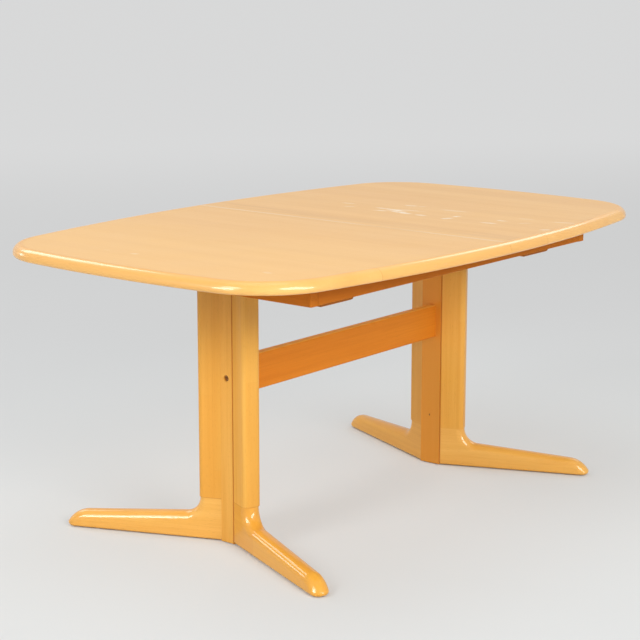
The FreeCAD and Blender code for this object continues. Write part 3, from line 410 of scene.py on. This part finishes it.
def knotted(tree, colour):
    knot = useGroup(tree, ovalMark, Vector=objectPlace(tree), Centre=legMarks["knot"],
                    Reach=legMarks["knotReach"])
    return blendColour(tree, knot["Mask"], colour, legMarks["knotColour"])


def footJoint(tree, colour):
    # the near pedestal's joints have opened a little, the far one's hardly show
    parts = objectParts(tree)
    away = sums(tree, "ABSOLUTE", sums(tree, "SUBTRACT", parts[2], legMarks["footJoint"]))
    line = remap(tree, away, *legMarks["footJointReach"], legMarks["glueShare"], 0.0)
    opened = remap(tree, parts[0], *legMarks["pedestalReach"], *legMarks["openShares"])
    return blendColour(tree, sums(tree, "MULTIPLY", line, opened), colour, legMarks["glueTone"])


stretcherMarks = {
    "litTopReach": (0.4445, 0.4468),   # height over which the painted light sets in
    "rubbedTone": tone(250, 196, 92), "litTopShare": 0.8,
}


def paintedTopLight(tree, colour):
    # painted light: the stretcher's top is painted paler, for the light that falls on it from above
    rubbed = remap(tree, objectParts(tree)[2], *stretcherMarks["litTopReach"],
                   0.0, stretcherMarks["litTopShare"])
    return blendColour(tree, rubbed, colour, stretcherMarks["rubbedTone"])


def dress(names, material):
    for name in names:
        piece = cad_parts[name]
        if not piece.material_slots:
            piece.data.materials.append(material)
        for place in piece.material_slots:
            place.material = material


acrossTable = (0.0, 0.0, 90.0)
alongTable = (0.0, 0.0, 0.0)
upright = (0.0, -90.0, 0.0)
splay = 22.7   # the legs' angle from the crosswise line, in degrees

legLook = {
    "pale": tone(238, 182, 86), "dark": tone(230, 166, 69), "streak": tone(222, 154, 56),
    "boardTone": tone(226, 158, 61), "fleck": tone(170, 100, 34),
    "streakShare": 0.45, "boardShare": 0.4, "fleckShare": 0.22, "lineShare": 0.14,
    "boardWidth": 0.037, "boardLength": 0.42, "lineWidth": 0.0005,
    "gloss": 0.38, "glossSpread": 0.1, "coat": 0.16, "coatRough": 0.1, "shine": 0.14,
    "grainDepth": 0.7, "bump": 0.12, "bumpDepth": 0.0004,
}
bareLook = dict(legLook, pale=tone(226, 184, 122), dark=tone(212, 166, 102), streak=tone(200, 150, 86),
                gloss=0.55, coat=0.0)   # unlacquered wood inside the frame
veneerLook = dict(legLook, boardWidth=0.165, boardLength=5.0, shine=0.28, coat=0.15)
lipLook = dict(legLook, pale=tone(241, 187, 108), dark=tone(237, 178, 97), streak=tone(228, 164, 81),
               boardShare=0.0, lineShare=0.0, streakShare=0.15, fleckShare=0.1, bump=0.06,
               gloss=0.3, coatOf=lipCoat, coatRough=0.07, shine=0.22, extras=(lipJoint,))
footLook = dict(legLook, coat=0.6, coatRough=0.05, extras=(openJoint, footJoint))
# the frame's wood is darker and more orange than the legs': painted shade of the space under the top
shadedFrameLook = dict(legLook, pale=tone(205, 124, 38), dark=tone(190, 107, 27), streak=tone(182, 101, 25),
                 boardTone=tone(196, 114, 31), boardLength=5.0, gloss=0.5, coat=0.0, shine=0.06)
looks = {
    "topVeneer": dict(veneerLook, name="topVeneer", turn=acrossTable,
                      pale=tone(239, 190, 118), dark=tone(232, 180, 107), streak=tone(219, 162, 89),
                      boardTone=tone(235, 183, 115), boardShare=0.35, streakShare=0.25, lineShare=0.1,
                      extras=(paintedNearLight, seamed, scuffed)),
    "leafVeneer": dict(veneerLook, name="leafVeneer", turn=alongTable,
                       pale=tone(241, 194, 126), dark=tone(234, 182, 112), streak=tone(222, 166, 96),
                       boardTone=tone(237, 186, 118), boardShare=0.5, streakShare=0.4, lineShare=0.12),
    "lippingSide": dict(lipLook, name="lippingSide", turn=alongTable),
    "lippingEnd": dict(lipLook, name="lippingEnd", turn=acrossTable),
    "leafLipping": dict(legLook, name="leafLipping", turn=acrossTable),
    "columnWood": dict(legLook, name="columnWood", turn=upright, extras=(openJoint, footJoint)),
    "footLeft": dict(footLook, name="footLeft", turn=(0.0, 0.0, 90.0 + splay),
                     pale=tone(244, 191, 97), dark=tone(237, 176, 81)),
    "footRight": dict(footLook, name="footRight", turn=(0.0, 0.0, 90.0 - splay),
                      pale=tone(243, 183, 72), dark=tone(235, 167, 57)),
    "postWood": dict(legLook, name="postWood", turn=upright, pale=tone(242, 183, 88), dark=tone(234, 168, 71),
                     boardShare=0.0, lineShare=0.0, extras=(paintedInnerShade, openJoint, knotted)),
    # the stretcher's wood is darker and more orange than the legs': painted shade under the top
    "stretcherShadedWood": dict(legLook, name="stretcherShadedWood", turn=alongTable, pale=tone(229, 141, 40),
                          dark=tone(217, 125, 28), streak=tone(208, 115, 23), boardTone=tone(219, 127, 31),
                          boardLength=5.0, boardWidth=0.044, gloss=0.45, coat=0.0, shine=0.12,
                          extras=(paintedTopLight,)),
    "frameAcrossShaded": dict(shadedFrameLook, name="frameAcrossShaded", turn=acrossTable),
    "frameAlongShaded": dict(shadedFrameLook, name="frameAlongShaded", turn=alongTable),
    # the bearers darker still than the frame: painted shade under the top
    "bearerShadedWood": dict(shadedFrameLook, name="bearerShadedWood", turn=acrossTable, pale=tone(186, 112, 34),
                       dark=tone(170, 96, 24), streak=tone(158, 88, 20), boardTone=tone(176, 102, 28)),
    "slideWood": dict(bareLook, name="slideWood", turn=alongTable),
    "dowelAcross": dict(bareLook, name="dowelAcross", turn=acrossTable),
    "dowelAlong": dict(bareLook, name="dowelAlong", turn=alongTable),
}
wearing = {
    "topVeneer": ["near_panel", "far_panel"],
    "leafVeneer": ["leaf_panel"],
    "lippingSide": ["near_left_lipping", "near_right_lipping", "far_left_lipping", "far_right_lipping"],
    "lippingEnd": ["near_end_lipping", "far_end_lipping"],
    "leafLipping": ["leaf_lippings"],
    "columnWood": ["near_left_column", "near_right_column", "far_left_column", "far_right_column"],
    "footLeft": ["near_left_foot", "far_right_foot"],
    "footRight": ["near_right_foot", "far_left_foot"],
    "postWood": ["near_post", "far_post"],
    "stretcherShadedWood": ["stretcher"],
    "frameAcrossShaded": ["near_cross_rail", "far_cross_rail", "near_end_rail", "far_end_rail"],
    "bearerShadedWood": ["near_bearer", "far_bearer"],
    "frameAlongShaded": ["left_side_rail", "right_side_rail"],
    "slideWood": ["left_guide_bar", "right_guide_bar", "near_left_runner", "near_right_runner",
                  "far_left_runner", "far_right_runner", "near_tongues", "far_tongues"],
    "dowelAcross": ["near_leg_dowels", "far_leg_dowels", "side_rail_dowels", "leaf_pins"],
    "dowelAlong": ["stretcher_dowels", "seam_pins"],
}
for label, look in looks.items():
    dress(wearing[label], woodMaterial(look))
print("wood finished:", len(looks), "materials")


steelLook = {
    "stainDetail": 4.0, "stainRange": (0.4, 0.7),
    "scratchScale": (900.0, 120.0, 900.0), "scratchDetail": 3.0, "scratchRough": 0.6,
    "scratchRange": (0.3, 0.7), "roughSpread": 0.15,
    "metal": 1.0, "bump": 0.08, "bumpDepth": 0.0002,
}
steelLooks = {
    "zincSteel": dict(steelLook, name="zincSteel", colour=tone(190, 190, 186), stain=tone(150, 146, 136),
                      gloss=0.28, stainScale=220.0),
    # painted reflection: the bolt's warm brown stands in for the wood reflected in its head, and its dark
    # brown stain for the shade of its hole
    "boltSteel": dict(steelLook, name="boltSteel", colour=tone(178, 130, 84), stain=tone(84, 54, 34),
                      gloss=0.22, stainScale=180.0),
    "hookSteel": dict(steelLook, name="hookSteel", colour=tone(196, 182, 140), stain=tone(150, 136, 100),
                      gloss=0.34, stainScale=90.0, scratchScale=(60.0, 900.0, 900.0)),
}


def steelMaterial(look):
    made, tree, shader = emptyMaterial(look["name"])
    place = objectPlace(tree)
    stain = put(tree, "ShaderNodeTexNoise", Vector=place, Scale=look["stainScale"],
                Detail=look["stainDetail"])
    mask = remap(tree, stain.outputs[0], *look["stainRange"])
    tree.links.new(blendColour(tree, mask, look["colour"], look["stain"]), shader.inputs["Base Color"])
    scratch = stretched(tree, place, look["scratchScale"], look["scratchDetail"], look["scratchRough"])
    rough = remap(tree, scratch, *look["scratchRange"], look["gloss"], look["gloss"] + look["roughSpread"])
    tree.links.new(rough, shader.inputs["Roughness"])
    shader.inputs["Metallic"].default_value = look["metal"]
    bump = put(tree, "ShaderNodeBump", Strength=look["bump"], Distance=look["bumpDepth"], Height=scratch)
    tree.links.new(bump.outputs[0], shader.inputs["Normal"])
    return made


plasticLook = {
    "dirtScale": 90.0, "dirtDetail": 3.0, "dirtRange": (0.4, 0.7),
    "glossRange": (0.3, 0.7), "roughSpread": 0.2,
    "gritScale": 1400.0, "gritDetail": 1.0, "bump": 0.15, "bumpDepth": 0.0002,
}
plasticLooks = {
    "bushPlastic": dict(plasticLook, name="bushPlastic", colour=tone(226, 220, 204), dirt=tone(196, 186, 166),
                        gloss=0.4),
    "glidePlastic": dict(plasticLook, name="glidePlastic", colour=tone(58, 44, 34), dirt=tone(96, 84, 72),
                         gloss=0.5),
}


def plasticMaterial(look):
    made, tree, shader = emptyMaterial(look["name"])
    place = objectPlace(tree)
    dirt = put(tree, "ShaderNodeTexNoise", Vector=place, Scale=look["dirtScale"], Detail=look["dirtDetail"])
    grit = put(tree, "ShaderNodeTexNoise", Vector=place, Scale=look["gritScale"], Detail=look["gritDetail"])
    mask = remap(tree, dirt.outputs[0], *look["dirtRange"])
    tree.links.new(blendColour(tree, mask, look["colour"], look["dirt"]), shader.inputs["Base Color"])
    rough = remap(tree, dirt.outputs[0], *look["glossRange"],
                  look["gloss"], look["gloss"] + look["roughSpread"])
    tree.links.new(rough, shader.inputs["Roughness"])
    bump = put(tree, "ShaderNodeBump", Strength=look["bump"], Distance=look["bumpDepth"],
               Height=grit.outputs[0])
    tree.links.new(bump.outputs[0], shader.inputs["Normal"])
    return made


dress(["bolt_washers", "barrel_nuts", "glide_nails", "pedestal_screws", "cross_rail_screws",
       "guide_screws", "near_screws", "far_screws"], steelMaterial(steelLooks["zincSteel"]))
dress(["stretcher_bolts"], steelMaterial(steelLooks["boltSteel"]))
dress(["left_hook", "right_hook", "hook_pivots", "hook_studs"], steelMaterial(steelLooks["hookSteel"]))
dress(["leaf_bushes", "seam_bushes"], plasticMaterial(plasticLooks["bushPlastic"]))
dress(["floor_glides"], plasticMaterial(plasticLooks["glidePlastic"]))
print("metal and plastic finished")


# studio

studio = {
    "floorSize": 900.0,
    "floorColour": tone(220, 224, 225), "floorRough": 0.8,
    "floorNear": tone(224, 224, 222), "floorMid": tone(209, 209, 209), "floorFar": tone(229, 229, 229),
    "depthWay": (0.64, 0.77, 0.0),                       # the way in which the floor changes colour
    "middleReach": (-0.8, 2.4), "farReach": (3.0, 9.0),   # metres along it
    "floorShown": (0.5, 0.8),    # how far the plain backdrop colour stands in for the lit floor,
    "shadowReach": (0.9, 2.6),   # beside the table and away from it, where its shadow has faded
    "contactReach": 0.03,        # below a foot this near, the shadow shows in full
    "backdrop": tone(217, 217, 217),
    "worldColour": tone(255, 255, 255), "worldLight": 0.36,
    "lamps": [
        # name, place, aim, width and height in metres, watts
        ("topLamp", (-0.6, 0.1, 4.6), (0.0, 0.0, 0.7), (3.2, 3.2), 31.0),
        ("leftLamp", (0.2, 4.4, 3.9), (0.0, 0.0, 0.6), (2.4, 2.4), 66.0),
        ("farLamp", (4.9, 0.4, 3.9), (0.0, 0.0, 0.6), (2.0, 2.0), 32.0),
        ("frontLamp", (-8.0, 0.65, 4.95), (-0.1, 0.0, 0.4), (3.6, 3.6), 302.0),
        ("rightLamp", (-1.7, -4.8, 2.9), (0.1, 0.0, 0.4), (2.8, 2.0), 186.0),
        ("leftFill", (-1.4, 4.6, 1.6), (-0.3, 0.0, 0.4), (0.8, 0.8), 12.0),
    ],
    "cards": [                   # seen in the lacquer only, as pale cards beside a camera are
        ("frontCard", (-5.4, 1.0, 1.85), (-0.8, -0.3, 0.7), (2.8, 1.4), 170.0),
        ("rightCard", (-0.3, -5.2, 1.7), (-0.7, -0.4, 0.7), (2.0, 1.2), 100.0),
    ],
}


def shownRays(tree):
    # rays that should meet the plain backdrop: the camera's own, and mirrored or bent ones
    path = tree.nodes.new("ShaderNodeLightPath")
    shown = sums(tree, "MAXIMUM", path.outputs["Is Camera Ray"], path.outputs["Is Glossy Ray"])
    return sums(tree, "MAXIMUM", shown, path.outputs["Is Transmission Ray"])


def floorMaterial(look):
    made, tree, shader = emptyMaterial("studioFloor")
    shader.inputs["Base Color"].default_value = look["floorColour"]
    shader.inputs["Roughness"].default_value = look["floorRough"]
    place = objectPlace(tree)
    depth = vectorSums(tree, "DOT_PRODUCT", place, look["depthWay"])["Value"]
    middle = remap(tree, depth, *look["middleReach"])
    far = remap(tree, depth, *look["farReach"])
    plain = blendColour(tree, middle, look["floorNear"], look["floorMid"])
    plain = blendColour(tree, far, plain, look["floorFar"])
    glow = put(tree, "ShaderNodeEmission", Color=plain)
    away = vectorSums(tree, "LENGTH", place)["Value"]
    share = remap(tree, away, *look["shadowReach"], *look["floorShown"])
    contact = put(tree, "ShaderNodeAmbientOcclusion", Distance=look["contactReach"])
    share = sums(tree, "MULTIPLY", share, contact.outputs["AO"])
    mix = tree.nodes.new("ShaderNodeMixShader")
    feed(tree, sums(tree, "MULTIPLY", shownRays(tree), share), mix.inputs[0])
    tree.links.new(shader.outputs[0], mix.inputs[1])
    tree.links.new(glow.outputs[0], mix.inputs[2])
    out = [one for one in tree.nodes if one.type == "OUTPUT_MATERIAL"][0]
    tree.links.new(mix.outputs[0], out.inputs[0])
    return made


def addLamp(name, place, aim, spread, watts, lightsWood):
    bpy.ops.object.light_add(type="AREA", location=place)
    lamp = bpy.context.object
    lamp.name = name
    lamp.data.shape = "ELLIPSE"
    lamp.data.size, lamp.data.size_y = spread
    lamp.data.energy = watts
    lamp.rotation_euler = (Vector(aim) - Vector(place)).to_track_quat("-Z", "Y").to_euler()
    lamp.visible_diffuse = lightsWood


def buildStudio(look):
    bpy.ops.mesh.primitive_plane_add(size=look["floorSize"], location=(0.0, 0.0, 0.0))
    floor = bpy.context.object
    floor.name = "studioFloor"
    floor.data.materials.append(floorMaterial(look))
    world = bpy.data.worlds.new("studioLight")
    bpy.context.scene.world = world
    world.use_nodes = True
    tree = world.node_tree
    tree.nodes.clear()
    soft = put(tree, "ShaderNodeBackground", Color=look["worldColour"], Strength=look["worldLight"])
    seen = put(tree, "ShaderNodeBackground", Color=look["backdrop"])
    mix = tree.nodes.new("ShaderNodeMixShader")
    tree.links.new(shownRays(tree), mix.inputs[0])
    tree.links.new(soft.outputs[0], mix.inputs[1])
    tree.links.new(seen.outputs[0], mix.inputs[2])
    out = tree.nodes.new("ShaderNodeOutputWorld")
    tree.links.new(mix.outputs[0], out.inputs[0])
    for lamp in look["lamps"]:
        addLamp(*lamp, True)
    for card in look["cards"]:
        addLamp(*card, False)


viewpoint = {
    "place": (-3.26596, -2.55774, 1.35163),   # metres
    "heading": 37.086,                        # degrees from +X towards +Y
    "pitch": 10.732,                          # degrees below level
    "roll": 0.37,
    "focal": 1674.87,                         # pixels on a 640 pixel frame
    "middle": (370.63, 283.07),               # pixel of the optical axis
    "frame": 640.0,
    "sensor": 36.0,
    "sight": 1000.0,                          # metres
}


def buildCamera(look):
    heading, pitch, roll = (math.radians(look[name]) for name in ("heading", "pitch", "roll"))
    level = Vector((math.cos(heading), math.sin(heading), 0.0))
    right = Vector((math.sin(heading), -math.cos(heading), 0.0))
    ahead = level * math.cos(pitch) - Vector((0.0, 0.0, math.sin(pitch)))
    up = right.cross(ahead)
    turned = right * math.cos(roll) + up * math.sin(roll)
    raised = up * math.cos(roll) - right * math.sin(roll)
    axes = Matrix((turned, raised, -ahead)).transposed().to_4x4()
    bpy.ops.object.camera_add()
    camera = bpy.context.object
    camera.name = "photoView"
    camera.matrix_world = Matrix.Translation(look["place"]) @ axes
    camera.data.sensor_width = look["sensor"]
    camera.data.lens = look["focal"] / look["frame"] * look["sensor"]
    camera.data.shift_x = (look["frame"] / 2 - look["middle"][0]) / look["frame"]
    camera.data.shift_y = (look["middle"][1] - look["frame"] / 2) / look["frame"]
    camera.data.clip_end = look["sight"]
    bpy.context.scene.camera = camera


buildStudio(studio)
buildCamera(viewpoint)
bpy.context.scene.view_settings.view_transform = "Standard"
print("studio and camera set")
